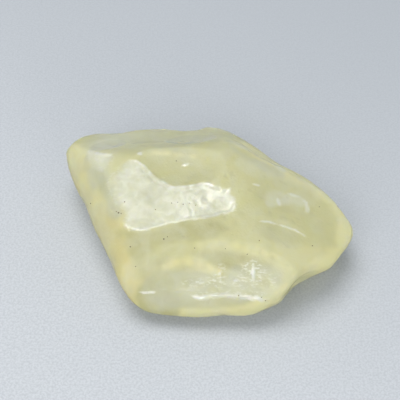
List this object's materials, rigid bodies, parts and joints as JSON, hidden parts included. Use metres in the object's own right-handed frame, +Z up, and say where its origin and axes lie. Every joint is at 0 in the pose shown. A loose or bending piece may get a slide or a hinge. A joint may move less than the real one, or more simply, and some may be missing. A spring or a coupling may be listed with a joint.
{
  "type": "Libyan desert glass piece",
  "caption": "Flat kite-shaped nugget of pale yellow, wind-frosted natural desert glass with shallow shell-shaped flake dishes, resting on its flat underside.",
  "frame": {"origin": "under the middle of the nugget's bounding box, on the surface it rests on", "axes": "+X along the nugget's longest extent, from the blunt high end to the thin tapered tip; +Y to the steep far side; +Z up, out of the dished top, along its shortest extent"},
  "size_m": [0.034, 0.0264, 0.0102],
  "materials": {
    "desert_glass": "pale yellow translucent silica glass, skin frosted satin by wind-blown sand, fresher flake scars glossier"
  },
  "bodies": {
    "root": {"desert_glass": "desert_glass"}
  },
  "joints": []
}
